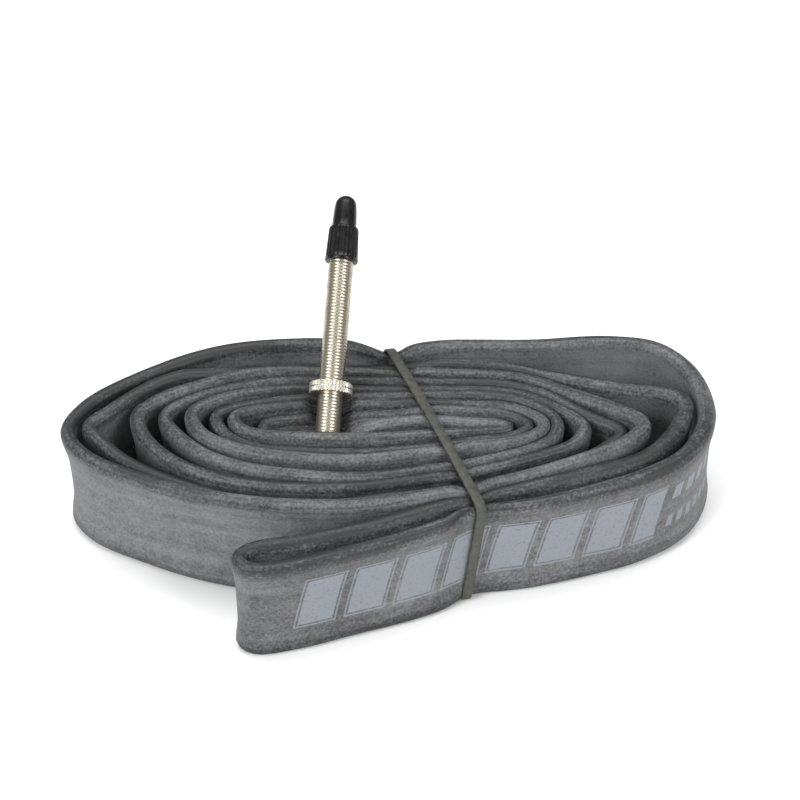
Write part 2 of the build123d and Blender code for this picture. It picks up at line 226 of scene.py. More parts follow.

# Values given at places along the loop, in metres from the outer fold.
# How far the upper edge stands above or below the plain strip, in millimetres:
edge_heights = [
    (0, 0), (0.1, 0.2), (0.14, 0.1), (0.2, 0.3), (0.26, 0.4), (0.34, 0.3), (0.36, 1.0), (0.4, 1.3),
    (0.44, 1.4), (0.47, 0.8), (0.5, -0.2), (0.53, -0.5), (0.56, 0.6), (0.58, 0.2), (0.6, -0.6),
    (0.62, 0), (0.64, 0.4), (0.7, 0.4), (0.73, -0.2), (0.765, -1.6), (0.79, 0), (0.81, 0.3),
    (0.84, 1.1), (0.86, 0.4), (0.88, 0.6), (0.9, 1.4), (0.92, 0.2), (0.95, -0.8), (0.98, -0.2),
    (0.994, 0.9), (1.005, 1.7), (1.018, 1.3), (1.03, 0.3), (1.065, -0.3), (1.08, -0.5),
    (1.09, -0.8), (1.0945, -1.3), (1.0975, -4.2), (1.106, -3.8), (1.111, -1.9), (1.125, -1.8),
    (1.15, -1.8), (1.16, 0.3), (1.18, 0.5), (1.2, -0.4), (1.21, -1.3), (1.24, -0.1), (1.27, -0.7),
    (1.31, -0.9), (1.34, 0.5), (1.38, 0), (1.42, 0.4), (1.46, -0.5), (1.49, 0), (1.53, -1.3),
    (1.56, -0.3), (1.59, -1.8), (1.62, -1.6), (1.64, -1.0), (1.66, -3.0), (1.69, -1.6),
    (1.705, -1.2), (1.715, 0.2), (1.73, 0.8), (1.747, 1.3), (1.757, -0.6), (1.77, -3.2),
    (1.79, -2.6), (1.81, -0.3), (1.86, -0.2), (1.9, 0), (1.92, 0.7), (1.96, 0.5), (1.9925, 0),
]
# How much fuller the beads along the edges are, in millimetres, and how much the inner side
# of the outer fold swells to close it:
edge_fullness = [
    (0, 0), (0.08, 0.15), (0.105, 0.55), (0.14, 0.55), (0.165, 0.15), (0.3, 0.1), (0.35, 0.4),
    (0.45, 0.4), (0.48, 0.15), (0.99, 0.2), (1.01, 0.4), (1.05, 0.15), (1.85, 0.1), (1.87, 0.65),
    (1.895, 0.65), (1.92, 0.2), (1.9925, 0),
]
fold_fullness = [
    (0, 0), (0.004, 0.3), (0.012, 1.6), (0.05, 1.6), (0.08, 0), (1.9, 0), (1.93, 1.6), (1.981, 1.6),
    (1.989, 0.3), (1.9925, 0),
]
# The share of a layer's lean towards the open side that is kept:
edge_leans = [
    (0, 1), (0.08, 1), (0.1, 0.1), (0.2, 0), (0.23, 0.5), (0.28, 0.7), (0.34, 0.6), (1.84, 1),
    (1.865, -0.4), (1.9, -0.2), (1.92, 1), (1.9925, 1),
]
# How dark the upper edge is painted, partly for rubbing and partly as painted shade:
edge_wear_and_shade = [
    (0, 0.8), (0.03, 0.5), (0.07, 0.4), (0.1, 0.35), (0.13, 0.35), (0.15, 0.3), (0.2, 0.5),
    (0.3, 0.85), (0.34, 0.6), (0.37, 0.1), (0.45, 0.15), (0.47, 0.5), (0.56, 0.3), (0.59, 0.55),
    (0.62, 0.5), (0.65, 0.7), (0.7, 0.35), (0.76, 0.6), (0.8, 0.4), (0.83, 0.1), (0.91, 0.1),
    (0.94, 0.6), (0.98, 0.3), (1.0, 0.6), (1.01, 0.2), (1.03, 0.2), (1.05, 0.4), (1.06, 0.2),
    (1.09, 0), (1.1, 0.6), (1.12, 0.5), (1.16, 0.3), (1.19, 0.5), (1.25, 0.7), (1.34, 0.3),
    (1.4, 0.4), (1.415, 0.15), (1.45, 0.2), (1.48, 0.5), (1.55, 0.6), (1.6, 0.7), (1.7, 0.85),
    (1.78, 0.9), (1.82, 0.5), (1.88, 0.55), (1.92, 0.75), (1.9925, 0.95),
]
# How far the middle of the opened-out strip sinks below its edges, in millimetres:
saddle_dips = [(0, 0.9), (1.08, 0.8), (1.095, 1.0), (1.1, 2.1), (1.106, 2.1), (1.112, 1.3), (1.9925, 1.3)]
metres = np.arange(count) * station_step * MM


def along_loop(table, reach):
    """A table of values at places along the loop, read off at every station and eased."""
    places, values = np.array(table).T
    return eased(np.interp(metres, places * metres[-1] / places[-1], values), reach)


# ---------------------------------------------------------------- how far the strip swells
# Distances that stand for nothing in the way, and the gap left between layers' skins
no_limit = 99
open_limit = 60
skin_gap = 0.03

# A neighbour counts when it lies nearly straight across, and much further along the strip
# than it is away, or else it is only the same layer going round a bend
straight_across = 0.75
layer_ratio = 1.35
layer_length = 2.5

# The strip swells to this share of a bend's radius on its inner side
bend_share = 0.9

# Each layer has its share of the way to the nearest layer on each side
plump = slab_half + rim_swell - tube_thick / 2 + along_loop(edge_fullness, 6)
between = stations[None, :, :] - stations[:, None, :]
distance = np.hypot(between[..., 0], between[..., 1])
index = np.arange(count)
apart = np.abs(index[:, None] - index[None, :])
apart = np.minimum(apart, count - apart) * station_step
sideways = (between * right[:, None, :]).sum(2) / np.maximum(distance, 1e-6)
share = plump[:, None] / (plump[:, None] + plump[None, :])
another_layer = apart > layer_ratio * distance + layer_length
in_fold = {1: 0, -1: along_loop(fold_fullness, 2)}
clear = {}
swell = {}
for side in (1, -1):
    facing = (sideways * side > straight_across) & another_layer
    room = np.where(facing, distance * share, no_limit).min(1) - skin_gap
    clear[side] = np.where(facing, distance, open_limit).min(1)
    radius = np.where(bend * side < 0, 1 / np.maximum(np.abs(bend), 1e-6), no_limit)
    fit = np.minimum(np.minimum(plump + in_fold[side], room), bend_share * radius)
    swell[side] = eased(least_nearby(fit, 1), 2)

# ---------------------------------------------------------------- edges, sags and dips
top_rise = 0.25
top_wave = 0.35
bottom_rise = 0.12
bottom_wave = 0.12
top_waves = wander(stations, pace=0.045, seed=3.1)
top = tube_width + top_rise + top_wave * top_waves + along_loop(edge_heights, 2)
bottom = bottom_rise + bottom_wave * wander(stations, pace=0.06, seed=8.2)

# A layer's edges lean, in millimetres, towards a side where the next layer is far away
closed_gap = 5
open_gap = 22
most_lean = 1.5
open_side = {side: np.clip((clear[side] - closed_gap) / open_gap, 0, 1) for side in (1, -1)}
lean = eased(most_lean * (open_side[1] - open_side[-1]), 6) * along_loop(edge_leans, 4)

# The valve's foot and directions, and the room that the strip leaves under the stem and nut
stem_room = 0.5
nut_room = 0.55
nut_lead = 0.8
over_strip = 40
opened_enough = 0.1
rise = Vector(frame["joints"][0]["axis"]).normalized()
thread_middle = Vector(frame["record"]["mounts"][0]["pos_m"]) / MM
foot = thread_middle - rise * (nut_place + nut_height + cap_place) / 2
valve_side = Vector((rise.y, -rise.x, 0)).normalized()
plan_rise = Vector((rise.x, rise.y, 0)).normalized()
slope = math.asin(rise.z)


def under_valve(place, radius, start):
    """The height of the underside of a rod along the valve, above a place in plan."""
    off = Vector((place[0] + shift[0] - foot.x, place[1] + shift[1] - foot.y, 0))
    across = off.dot(valve_side)
    if abs(across) >= radius:
        return no_limit
    drop = math.sqrt(radius**2 - across**2)
    along = (off.dot(plan_rise) - drop * math.sin(slope)) / math.cos(slope)
    if along < start:
        return no_limit
    return foot.z + along * math.sin(slope) - drop * math.cos(slope)


def room_under_valve(place, sideways):
    """The lowest underside of the stem or the nut above the strip's width at a station."""
    heights = []
    for off in (-1.4, -0.7, 0, 0.7, 1.4):
        spot = place + off * sideways
        heights.append(under_valve(spot, stem_radius + stem_room, 0))
        heights.append(under_valve(spot, nut_radius + nut_room, nut_place - nut_lead))
    return min(heights)


allowed = np.array([room_under_valve(place, across) for place, across in zip(stations, right)])
allowed = np.where(opened > opened_enough, no_limit, allowed)
top = np.minimum(top, eased(least_nearby(np.minimum(allowed, over_strip), 2), 3))

# Where the rubber band crosses the coil's front and back, how far it arches over the layers
# between them, and how far its lower run lies along X from its upper run
band_front = np.array((20.8, -22.0))
band_back = np.array((-0.5, 36.6))
band_arch = 1.1
band_foot_shift = -3.4

# How it presses the edges down, pinches the walls at its ends, and lifts them off its lower
# run, and how far the back wall's edge drops under it
press_depth = 0.85
press_width = 3.2
end_length = 4
pinch_shift = 1.7
pinch_width = 5.5
foot_lift = 0.8
foot_off = 3.3
back_start = 52
back_width = 5.0
back_drop = 0.9
band_length = np.linalg.norm(band_back - band_front)
band_line = (band_back - band_front) / band_length
off_band = (stations - band_front) @ np.array((band_line[1], -band_line[0]))
along_band = (stations - band_front) @ band_line
pressed = np.exp(-((off_band / press_width) ** 2))
at_ends = (np.abs(along_band) < end_length) | (along_band > band_length - end_length)
pinched = np.exp(-(((off_band + pinch_shift) / pinch_width) ** 4)) * at_ends
lean = lean * (1 - pinched)
for side in (1, -1):
    swell[side] = swell[side] - np.maximum(0, swell[side] - tube_thick / 2) * pinched
arch = band_arch * np.sin(np.clip(along_band / band_length, 0, 1) * math.pi)
over = tube_width - press_depth + arch
top = top - np.maximum(0, top - over) * pressed
bottom = bottom + foot_lift * np.exp(-(((off_band + foot_off) / press_width) ** 2))
at_back = np.exp(-((off_band / back_width) ** 2)) * (along_band > back_start)
top = top - back_drop * at_back

# ---------------------------------------------------------------- the strip's section
# The section's rows, from the edge to the middle of the strip's height: their depths, and for
# the opened-out part their shares of the swelling and of the dip, and their depths below it
depths = np.array([0, 0.12, 0.4, 0.8, 1.3, 1.9, 2.8, 4.0, 5.6, 8.0, 11.0, 14.0])
open_widths = np.array([0, 0.22, 0.5, 0.76, 0.93, 1.0, 0.99, 0.92, 0.78, 0.58, 0.42, 0.3])
dip_shares = np.array([1.0, 0.96, 0.8, 0.45, 0.16, 0, 0, 0, 0, 0, 0, 0])
open_depths = np.array([0, 0, 0, 0, 0, 0.25, 1.5, 3.2, 5.4, 8.0, 11.0, 14.0])
dip = along_loop(saddle_dips, 2)
last = len(depths) - 1

# How far below the bead the strip reaches its thinnest, and the most that it thins by there
waist_length = 7.5
waist_drop = 0.8


def bulb(swelling, depth):
    """Half the strip's thickness at a depth below its edge: a round bead, then a thin waist."""
    bead = np.sqrt(np.maximum(0, swelling**2 - np.maximum(0, swelling - depth) ** 2))
    fade = np.clip((depth - swelling) / waist_length, 0, 1)
    fade = fade * fade * (3 - 2 * fade)
    thin = np.maximum(np.minimum(waist, swelling), swelling - waist_drop)
    return np.where(depth < swelling, bead, thin + (swelling - thin) * (1 - fade))


def section_row(row):
    """The side, the depth's place and the edge of each row of the section, from the top's crown."""
    if row <= last:
        return 1, row, 1
    if row <= 2 * last:
        return 1, 2 * last - row, -1
    if row <= 3 * last:
        return -1, row - 2 * last, -1
    return -1, 4 * last - row, 1


around = 4 * last
rows = np.zeros((around, count, 3))
crown = np.zeros((around, count))

# How the strip opens out at the valve, and how its upper and lower parts lean, above and
# below these shares of its height
opened_at_all = 0.01
opening_power = 0.8
least_opening = 0.8
upper_lean = 2.2
upper_start = 0.35
lower_lean = 6
lower_start = 0.2

# How deep the edge's darkening, partly rubbing and partly painted shade, reaches below the edge, with
# painted shade added on the front wall and less darkening inside the right end, at places along the loop in metres
least_wear_and_shade = 0.28
wear_and_shade_depth = 2.8
front_painted_shade = 0.24
front_end = 0.14
front_fade = 0.03
inner_lightening = 0.3
lightening_middle = 0.175
lightening_reach = 0.05
wear_and_shade = along_loop(edge_wear_and_shade, 4) + least_wear_and_shade
at_front = np.clip((front_end - metres) / front_fade, 0, 1)
at_lightening = np.exp(-(((metres - lightening_middle) / lightening_reach) ** 4))
tall = (top - bottom) / 2
blend = np.clip(opened, 0, 1) ** opening_power
for row in range(around):
    side, place, edge = section_row(row)
    depth = depths[place] * tall / (tube_width / 2)
    out = bulb(swell[side], depth)
    height = top - depth if edge > 0 else bottom + depth
    if edge > 0:
        wide = open_widths[place] * swell[side]
        wide_height = top - dip_shares[place] * dip - open_depths[place] * tall / (tube_width / 2)
        widened = out + (np.maximum(wide, out * least_opening) - out) * blend
        out = np.where(opened > opened_at_all, widened if place > 0 else 0, out)
        height = np.where(opened > opened_at_all, height + (wide_height - height) * blend, height)
    share_up = height / tube_width
    tilt_up = np.clip(share_up - upper_start, 0, 1) ** 2 * upper_lean
    tilt_down = np.clip(lower_start - share_up, 0, 1) ** 2 * lower_lean
    plan = stations + right * (side * out + lean * (tilt_up + tilt_down))[:, None]
    rows[row, :, :2] = plan + shift
    rows[row, :, 2] = height
    # The edges darker, partly rubbed and partly painted shade
    crown[row] = wear_and_shade * np.exp(-((depth / wear_and_shade_depth) ** 2))
    # Painted shade: one side of the front wall darker
    crown[row] += front_painted_shade * at_front * (row < around / 2)
    # Less darkening on the inner side at the right end
    crown[row] -= inner_lightening * at_lightening * (row > around / 2)


# ---------------------------------------------------------------- making pieces
def clean_up(obj, angle=35):
    """Merges a shape's doubles, points its faces outwards and smooths its gentle edges."""
    bpy.ops.object.mode_set(mode="EDIT")
    bpy.ops.mesh.select_all(action="SELECT")
    bpy.ops.mesh.remove_doubles(threshold=1e-7)
    bpy.ops.mesh.normals_make_consistent(inside=False)
    bpy.ops.mesh.select_all(action="DESELECT")
    bpy.ops.object.mode_set(mode="OBJECT")
    bpy.ops.object.shade_smooth_by_angle(angle=math.radians(angle))


def vertex_places(obj):
    """The mesh's vertices as an array."""
    places = np.zeros(3 * len(obj.data.vertices))
    obj.data.vertices.foreach_get("co", places)
    return places.reshape(-1, 3)


def set_places(obj, places):
    """Puts the mesh's vertices at these places."""
    obj.data.vertices.foreach_set("co", np.ascontiguousarray(places, float).ravel())
    obj.data.update()


def spun(name, outline, steps):
    """A closed outline, as distances from Z and along it in millimetres, spun round Z."""
    bpy.ops.object.select_all(action="DESELECT")
    bpy.ops.mesh.primitive_circle_add(vertices=len(outline), radius=1)
    obj = bpy.context.object
    obj.name = name
    set_places(obj, np.array([(r * MM, 0, z * MM) for r, z in outline]))
    bpy.ops.object.mode_set(mode="EDIT")
    bpy.ops.mesh.select_all(action="SELECT")
    bpy.ops.mesh.spin(steps=steps, angle=2 * math.pi, center=(0, 0, 0), axis=(0, 0, 1))
    bpy.ops.object.mode_set(mode="OBJECT")
    clean_up(obj)
    return obj


def swept_ring(name, across, along):
    """A closed ring of quads, with each vertex's place along it and round its section."""
    bpy.ops.object.select_all(action="DESELECT")
    bpy.ops.mesh.primitive_circle_add(
        vertices=across, radius=0.1, location=(1, 0, 0), rotation=(math.pi / 2, 0, 0)
    )
    obj = bpy.context.object
    obj.name = name
    bpy.ops.object.transform_apply(location=True, rotation=True, scale=True)
    bpy.ops.object.mode_set(mode="EDIT")
    bpy.ops.mesh.select_all(action="SELECT")
    bpy.ops.mesh.spin(steps=along, angle=2 * math.pi, center=(0, 0, 0), axis=(0, 0, 1))
    bpy.ops.mesh.select_all(action="SELECT")
    bpy.ops.mesh.remove_doubles(threshold=1e-5)
    bpy.ops.object.mode_set(mode="OBJECT")
    x, y, z = vertex_places(obj).T
    at_along = np.rint(np.arctan2(y, x) / (2 * math.pi) * along).astype(int) % along
    at_across = np.rint(np.arctan2(z, np.hypot(x, y) - 1) / (2 * math.pi) * across).astype(int) % across
    return obj, at_along, at_across


def on_valve(obj):
    """Stands a piece made along Z on the valve's axis, measured from its foot."""
    turn = Matrix((valve_side, rise.cross(valve_side), rise)).transposed().to_4x4()
    obj.data.transform(Matrix.Translation(foot * MM) @ turn)
    obj.data.update()


def finish_piece(obj, material, body, slot, *nodes):
    """Gives a piece its material and its body, and hides the nodes that it stands for; the slot is not used."""
    obj.data.materials.clear()
    obj.data.materials.append(material)
    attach(obj, body)
    if nodes:
        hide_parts(*nodes)


# ---------------------------------------------------------------- materials
def new_material(name):
    """An empty node material and its shader."""
    material = bpy.data.materials.new(name)
    material.use_nodes = True
    return material, material.node_tree, material.node_tree.nodes["Principled BSDF"]


def put(tree, kind, inputs=(), **settings):
    """Adds a node with its settings, and fills its sockets with values or links."""
    node = tree.nodes.new(kind)
    for key, value in settings.items():
        setattr(node, key, value)
    for key, value in dict(inputs).items():
        if isinstance(value, bpy.types.NodeSocket):
            tree.links.new(value, node.inputs[key])
        else:
            node.inputs[key].default_value = value
    return node


def sum_up(tree, operation, a, b=0.0, c=0.0):
    """The result of a Math node."""
    return put(tree, "ShaderNodeMath", {0: a, 1: b, 2: c}, operation=operation).outputs[0]


def between_limits(tree, value, low, high, to_low=0.0, to_high=1.0):
    """A value moved from one range to another, smoothly and clamped."""
    node = put(
        tree,
        "ShaderNodeMapRange",
        {"Value": value, "From Min": low, "From Max": high, "To Min": to_low, "To Max": to_high},
        interpolation_type="SMOOTHSTEP",
    )
    return node.outputs["Result"]


def grain(tree, coordinates, scale, detail=2.0, rough=0.5):
    """A noise from 0 to 1."""
    settings = {"Vector": coordinates, "Scale": scale, "Detail": detail, "Roughness": rough}
    return put(tree, "ShaderNodeTexNoise", settings).outputs["Fac"]


def stretched(tree, coordinates, scale):
    """Coordinates scaled differently each way."""
    return put(tree, "ShaderNodeMapping", {"Vector": coordinates, "Scale": scale}).outputs["Vector"]


def blended(tree, amount, one, other):
    """A mix of two colours or sockets."""
    node = put(tree, "ShaderNodeMix", {}, data_type="RGBA")
    for key, value in (("Factor", amount), ("A", one), ("B", other)):
        socket = [s for s in node.inputs if s.name == key and (s.type == "RGBA") == (key != "Factor")][0]
        if isinstance(value, bpy.types.NodeSocket):
            tree.links.new(value, socket)
        else:
            socket.default_value = value
    return [s for s in node.outputs if s.type == "RGBA"][0]


def raised(tree, shader, height, strength, distance):
    """Bumps the shader's surface."""
    bump = put(tree, "ShaderNodeBump", {"Height": height, "Strength": strength, "Distance": distance})
    tree.links.new(bump.outputs["Normal"], shader.inputs["Normal"])


def dusted_rubber():
    """Butyl rubber dusted with talc, darkened along the edges partly by rubbing and partly as painted shade, with
    the pale printed bars.
    """
    material, tree, shader = new_material("dusted_rubber")
    space = put(tree, "ShaderNodeTexCoord").outputs["Object"]
    chart = put(tree, "ShaderNodeUVMap", uv_map="length_and_girth").outputs["UV"]
    edge = put(tree, "ShaderNodeAttribute", attribute_name="edge").outputs["Fac"]
    speckle = grain(tree, space, 1500, 3, 0.6)
    mottle = grain(tree, space, 260, 3, 0.6)
    cloud = grain(tree, space, 42, 2, 0.5)
    streak = grain(tree, stretched(tree, chart, (26, 38, 1)), 1.0, 3, 0.55)
    talc = sum_up(tree, "MULTIPLY_ADD", speckle, 0.9, 0.16)
    for layer, share_of_talc in ((mottle, 0.45), (cloud, 0.5), (streak, 0.7)):
        talc = sum_up(tree, "MULTIPLY_ADD", layer, share_of_talc, talc)
    talc = sum_up(tree, "SUBTRACT", talc, 0.89)
    patches = grain(tree, stretched(tree, chart, (34, 6, 1)), 1.0, 3, 0.6)
    # The edges darker, partly rubbed and partly painted shade
    rubbed_and_shaded = sum_up(tree, "MULTIPLY", edge, between_limits(tree, patches, 0.35, 0.65, 0.6, 1.2))
    worn_and_shaded = sum_up(tree, "MULTIPLY_ADD", rubbed_and_shaded, -0.74, talc)
    fleck_strength = sum_up(tree, "MULTIPLY_ADD", edge, 0.5, 0.1)
    flecks = sum_up(tree, "MULTIPLY", sum_up(tree, "SUBTRACT", speckle, 0.5), fleck_strength)
    worn_and_shaded = sum_up(tree, "ADD", worn_and_shaded, flecks)
    amount = between_limits(tree, worn_and_shaded, -0.22, 1.15)
    colour = blended(tree, amount, bare_rubber_colour, talc_colour)
    colour = blended(tree, printed_bars(tree, chart, space, speckle), colour, ink_colour)
    tree.links.new(colour, shader.inputs["Base Color"])
    tree.links.new(between_limits(tree, amount, 0, 1, 0.5, 0.74), shader.inputs["Roughness"])
    shader.inputs["Specular IOR Level"].default_value = 0.42
    relief = sum_up(tree, "MULTIPLY_ADD", streak, 0.8, speckle)
    relief = sum_up(tree, "MULTIPLY_ADD", mottle, 0.6, relief)
    raised(tree, shader, relief, 0.35, 0.00012)
    return material


def printed_bars(tree, chart, space, speckle):
    """A row of slanted bars and two rows of small dashes, on the outer wall near the outer fold."""
    split = put(tree, "ShaderNodeSeparateXYZ", {"Vector": chart})
    along, girth = split.outputs["X"], split.outputs["Y"]
    height = put(tree, "ShaderNodeSeparateXYZ", {"Vector": space}).outputs["Z"]
    outer = sum_up(tree, "LESS_THAN", girth, 0.5)
    leaning = sum_up(tree, "MULTIPLY_ADD", height, bar_slant, along)

    def window(value, low, high, soft=0.0002):
        """One between two limits and zero outside them, with soft ends."""
        into = between_limits(tree, value, low - soft, low + soft)
        out_of = between_limits(tree, value, high - soft, high + soft, 1.0, 0.0)
        return sum_up(tree, "MULTIPLY", into, out_of)

    def bars(start, end, pitch, fill, low, high, soft=0.0002):
        """A row of bars, each filling a share of the pitch, between two heights."""
        phase = sum_up(tree, "PINGPONG", sum_up(tree, "SUBTRACT", leaning, start), pitch / 2)
        body = between_limits(tree, phase, fill * pitch / 2 - soft, fill * pitch / 2 + soft, 1.0, 0.0)
        lengthwise = window(leaning, start - pitch / 2, end)
        inside = sum_up(tree, "MULTIPLY", lengthwise, window(height, low, high, soft))
        return sum_up(tree, "MULTIPLY", body, inside)

    big = bars(print_start, print_end, bar_pitch, 0.7, 0.0078, 0.0212)
    rim = bars(print_start, print_end, bar_pitch, 0.84, 0.0070, 0.0220)
    hollow = sum_up(tree, "SUBTRACT", rim, bars(print_start, print_end, bar_pitch, 0.78, 0.0074, 0.0216))
    upper = bars(dash_start, dash_end, 0.0042, 0.62, 0.0165, 0.0205, 0.00015)
    lower = bars(dash_start, dash_end, 0.0031, 0.55, 0.0085, 0.0115, 0.00015)
    large = sum_up(tree, "MAXIMUM", big, hollow)
    ink = sum_up(tree, "MAXIMUM", large, sum_up(tree, "MAXIMUM", upper, lower))
    ink = sum_up(tree, "MULTIPLY", ink, outer)
    return sum_up(tree, "MULTIPLY", ink, between_limits(tree, speckle, 0.25, 0.5, 0.55, 0.95))


def plated_metal(name, pale, dark):
    """Nickel plate over brass, slightly stained."""
    material, tree, shader = new_material(name)
    space = put(tree, "ShaderNodeTexCoord").outputs["Object"]
    stain = grain(tree, space, 320, 3, 0.6)
    fine = grain(tree, space, 3000, 2, 0.6)
    colour = blended(tree, between_limits(tree, stain, 0.3, 0.75), pale + (1,), dark + (1,))
    tree.links.new(colour, shader.inputs["Base Color"])
    shader.inputs["Metallic"].default_value = 1.0
    tree.links.new(between_limits(tree, stain, 0.3, 0.8, 0.3, 0.42), shader.inputs["Roughness"])
    raised(tree, shader, fine, 0.1, 0.00003)
    return material


def simple_finish(name, dark, pale, rough_low, rough_high, scale, metallic=0.0, bump=0.2):
    """A plain finish with a little grain in its colour, its sheen and its surface."""
    material, tree, shader = new_material(name)
    space = put(tree, "ShaderNodeTexCoord").outputs["Object"]
    coarse = grain(tree, space, scale, 3, 0.6)
    fine = grain(tree, space, scale * 7, 2, 0.6)
    colour = blended(tree, between_limits(tree, coarse, 0.3, 0.75), dark + (1,), pale + (1,))
    tree.links.new(colour, shader.inputs["Base Color"])
    tree.links.new(between_limits(tree, coarse, 0.3, 0.8, rough_low, rough_high), shader.inputs["Roughness"])
    shader.inputs["Metallic"].default_value = metallic
    raised(tree, shader, fine, bump, 0.00004)
    return material


# Where the print starts and ends along the tube, in metres from the outer fold, and the
# pitch and slant of its bars
print_start = 0.016
print_end = 0.100
dash_start = 0.104
dash_end = 0.122
bar_pitch = 0.0118
bar_slant = -0.22

bare_rubber_colour = (0.018, 0.0185, 0.0195, 1)
talc_colour = (0.215, 0.219, 0.226, 1)
ink_colour = (0.205, 0.222, 0.245, 1)
rubber = dusted_rubber()
patch_rubber = simple_finish("patch_rubber", (0.03, 0.031, 0.033), (0.085, 0.086, 0.09), 0.55, 0.75, 500)
nickel = plated_metal("nickel_plate", (0.5, 0.46, 0.37), (0.34, 0.31, 0.24))
bright_nickel = plated_metal("bright_nickel_plate", (0.8, 0.76, 0.67), (0.62, 0.58, 0.5))
cap_plastic = simple_finish("cap_plastic", (0.003, 0.003, 0.003), (0.008, 0.008, 0.008), 0.25, 0.36, 500)
cap_plastic.node_tree.nodes["Principled BSDF"].inputs["Specular IOR Level"].default_value = 0.3
band_rubber = simple_finish("band_rubber", (0.035, 0.035, 0.03), (0.07, 0.069, 0.06), 0.55, 0.75, 600)
seal_rubber = simple_finish("seal_rubber", (0.012, 0.012, 0.013), (0.03, 0.03, 0.031), 0.45, 0.6, 700)
pin_brass = simple_finish("pin_brass", (0.72, 0.56, 0.27), (0.6, 0.45, 0.2), 0.22, 0.36, 700, metallic=1.0)

# ---------------------------------------------------------------- the tube
tube, at_station, at_row = swept_ring("emptied_tube", around, count)
set_places(tube, rows[at_row, at_station] * MM)
corners = np.zeros(len(tube.data.loops), int)
tube.data.loops.foreach_get("vertex_index", corners)
along = at_station[corners].reshape(-1, 4)
girth = at_row[corners].reshape(-1, 4)
along = np.where(along.max(1)[:, None] - along > count / 2, along + count, along)
girth = np.where(girth.max(1)[:, None] - girth > around / 2, girth + around, girth)
chart = tube.data.uv_layers.new(name="length_and_girth")
chart.data.foreach_set("uv", np.c_[along.ravel() * station_step * MM, girth.ravel() / around].ravel())
edge = tube.data.attributes.new("edge", "FLOAT", "POINT")
edge.data.foreach_set("value", crown[at_row, at_station])
bpy.ops.object.mode_set(mode="EDIT")
bpy.ops.mesh.select_all(action="SELECT")
bpy.ops.mesh.normals_make_consistent(inside=False)
bpy.ops.object.mode_set(mode="OBJECT")
bpy.ops.object.shade_smooth()
finish_piece(tube, rubber, "tube", "tube_rubber", "inner_tube")

# ---------------------------------------------------------------- the patch at the valve's foot
# It lies on the rows on either side of the crown, round the place that is opened out most
middle = int(np.argmax(opened))
top_rows = list(range(-5, 6))
patch_length = 6.8
patch_width = 3.1
patch_rise = 0.3


def saddle_point(along, across):
    """A point on the saddle's surface, from its distances along and across from the middle."""
    place = middle + along / station_step
    found = []
    for k in (math.floor(place), math.floor(place) + 1):
        line = rows[top_rows, k % count]
        spot = stations[k % count] + shift
        widths = (line[:, :2] - spot) @ right[k % count]
        order = np.argsort(widths)
        height = np.interp(across, widths[order], line[order, 2])
        found.append(np.r_[spot + right[k % count] * across, height])
    part = place - math.floor(place)
    return found[0] * (1 - part) + found[1] * part


patch_outline = [
    (0, -1.2), (0.9, -1.2), (1.0, -0.5), (1.0, 0.15), (0.93, 0.5), (0.75, 0.72), (0.5, 0.85),
    (0.3, 0.95), (0, 1.0),
]
patch = spun("valve_patch", patch_outline, 64)
shape = vertex_places(patch) / MM
patch_places = np.array([saddle_point(patch_length * x, patch_width * y) for x, y in shape[:, :2]])
patch_places[:, 2] += patch_rise * shape[:, 2]
set_places(patch, patch_places * MM)
clean_up(patch, 50)
finish_piece(patch, patch_rubber, "tube", "patch_rubber", "valve_base_patch")

boss_outline = [(3.02, -1.6), (4.1, -1.6), (4.1, 0.2), (3.95, 0.75), (3.6, 1.1), (3.3, 1.2), (3.02, 1.15)]
boss = spun("valve_boss", boss_outline, 64)
on_valve(boss)
finish_piece(boss, patch_rubber, "tube", "patch_rubber")

# ---------------------------------------------------------------- the valve's metal
# The thread is made shallower than a real one, which shows too strongly
thread_depth = 0.045
thread_start = 1.2
stem_chamfer = 0.45
stem_bore = 1.6
collar_radius = 3.4
collar_height = 1.1
socket_radius = 2.5
socket_floor = 45.0
stem_outline = [(stem_bore, 0), (collar_radius, 0), (collar_radius, collar_height)]
thread_rows = np.arange(thread_start, stem_length - stem_chamfer, thread_pitch / 8)
stem_outline += [(stem_radius, z) for z in thread_rows]
stem_outline += [(2.62, stem_length), (socket_radius, stem_length)]
stem_outline += [(socket_radius, socket_floor), (stem_bore, socket_floor)]
stem = spun("threaded_stem", stem_outline, 40)
shape = vertex_places(stem) / MM
turned = np.arctan2(shape[:, 1], shape[:, 0]) / (2 * math.pi)
reach = np.hypot(shape[:, 0], shape[:, 1])
phase = (shape[:, 2] / thread_pitch + turned) % 1
tooth = 0.5 - 0.5 * np.cos(2 * math.pi * phase)
on_thread = np.abs(reach - stem_radius) < 0.01
cut = np.where(on_thread, stem_radius - thread_depth * (1 - tooth), reach)
shape[:, :2] *= (cut / np.maximum(reach, 1e-6))[:, None]
set_places(stem, shape * MM)
on_valve(stem)
bpy.ops.object.shade_smooth_by_angle(angle=math.radians(60))
finish_piece(stem, nickel, "tube", "plated_metal", "valve_stem")


def knurled(obj, radius, depth, steps, grooved):
    """Presses grooves along the outside of a spun piece, two steps in four, between pairs of heights."""
    shape = vertex_places(obj) / MM
    reach = np.hypot(shape[:, 0], shape[:, 1])
    column = np.rint(np.arctan2(shape[:, 1], shape[:, 0]) / (2 * math.pi) * steps).astype(int) % 4
    level = np.zeros(len(shape), bool)
    for low, high in grooved:
        level |= (shape[:, 2] > low) & (shape[:, 2] < high)
    hit = level & (reach > radius) & (column < 2)
    shape[:, :2] *= np.where(hit, 1 - depth / np.maximum(reach, 1e-6), 1)[:, None]
    set_places(obj, shape * MM)


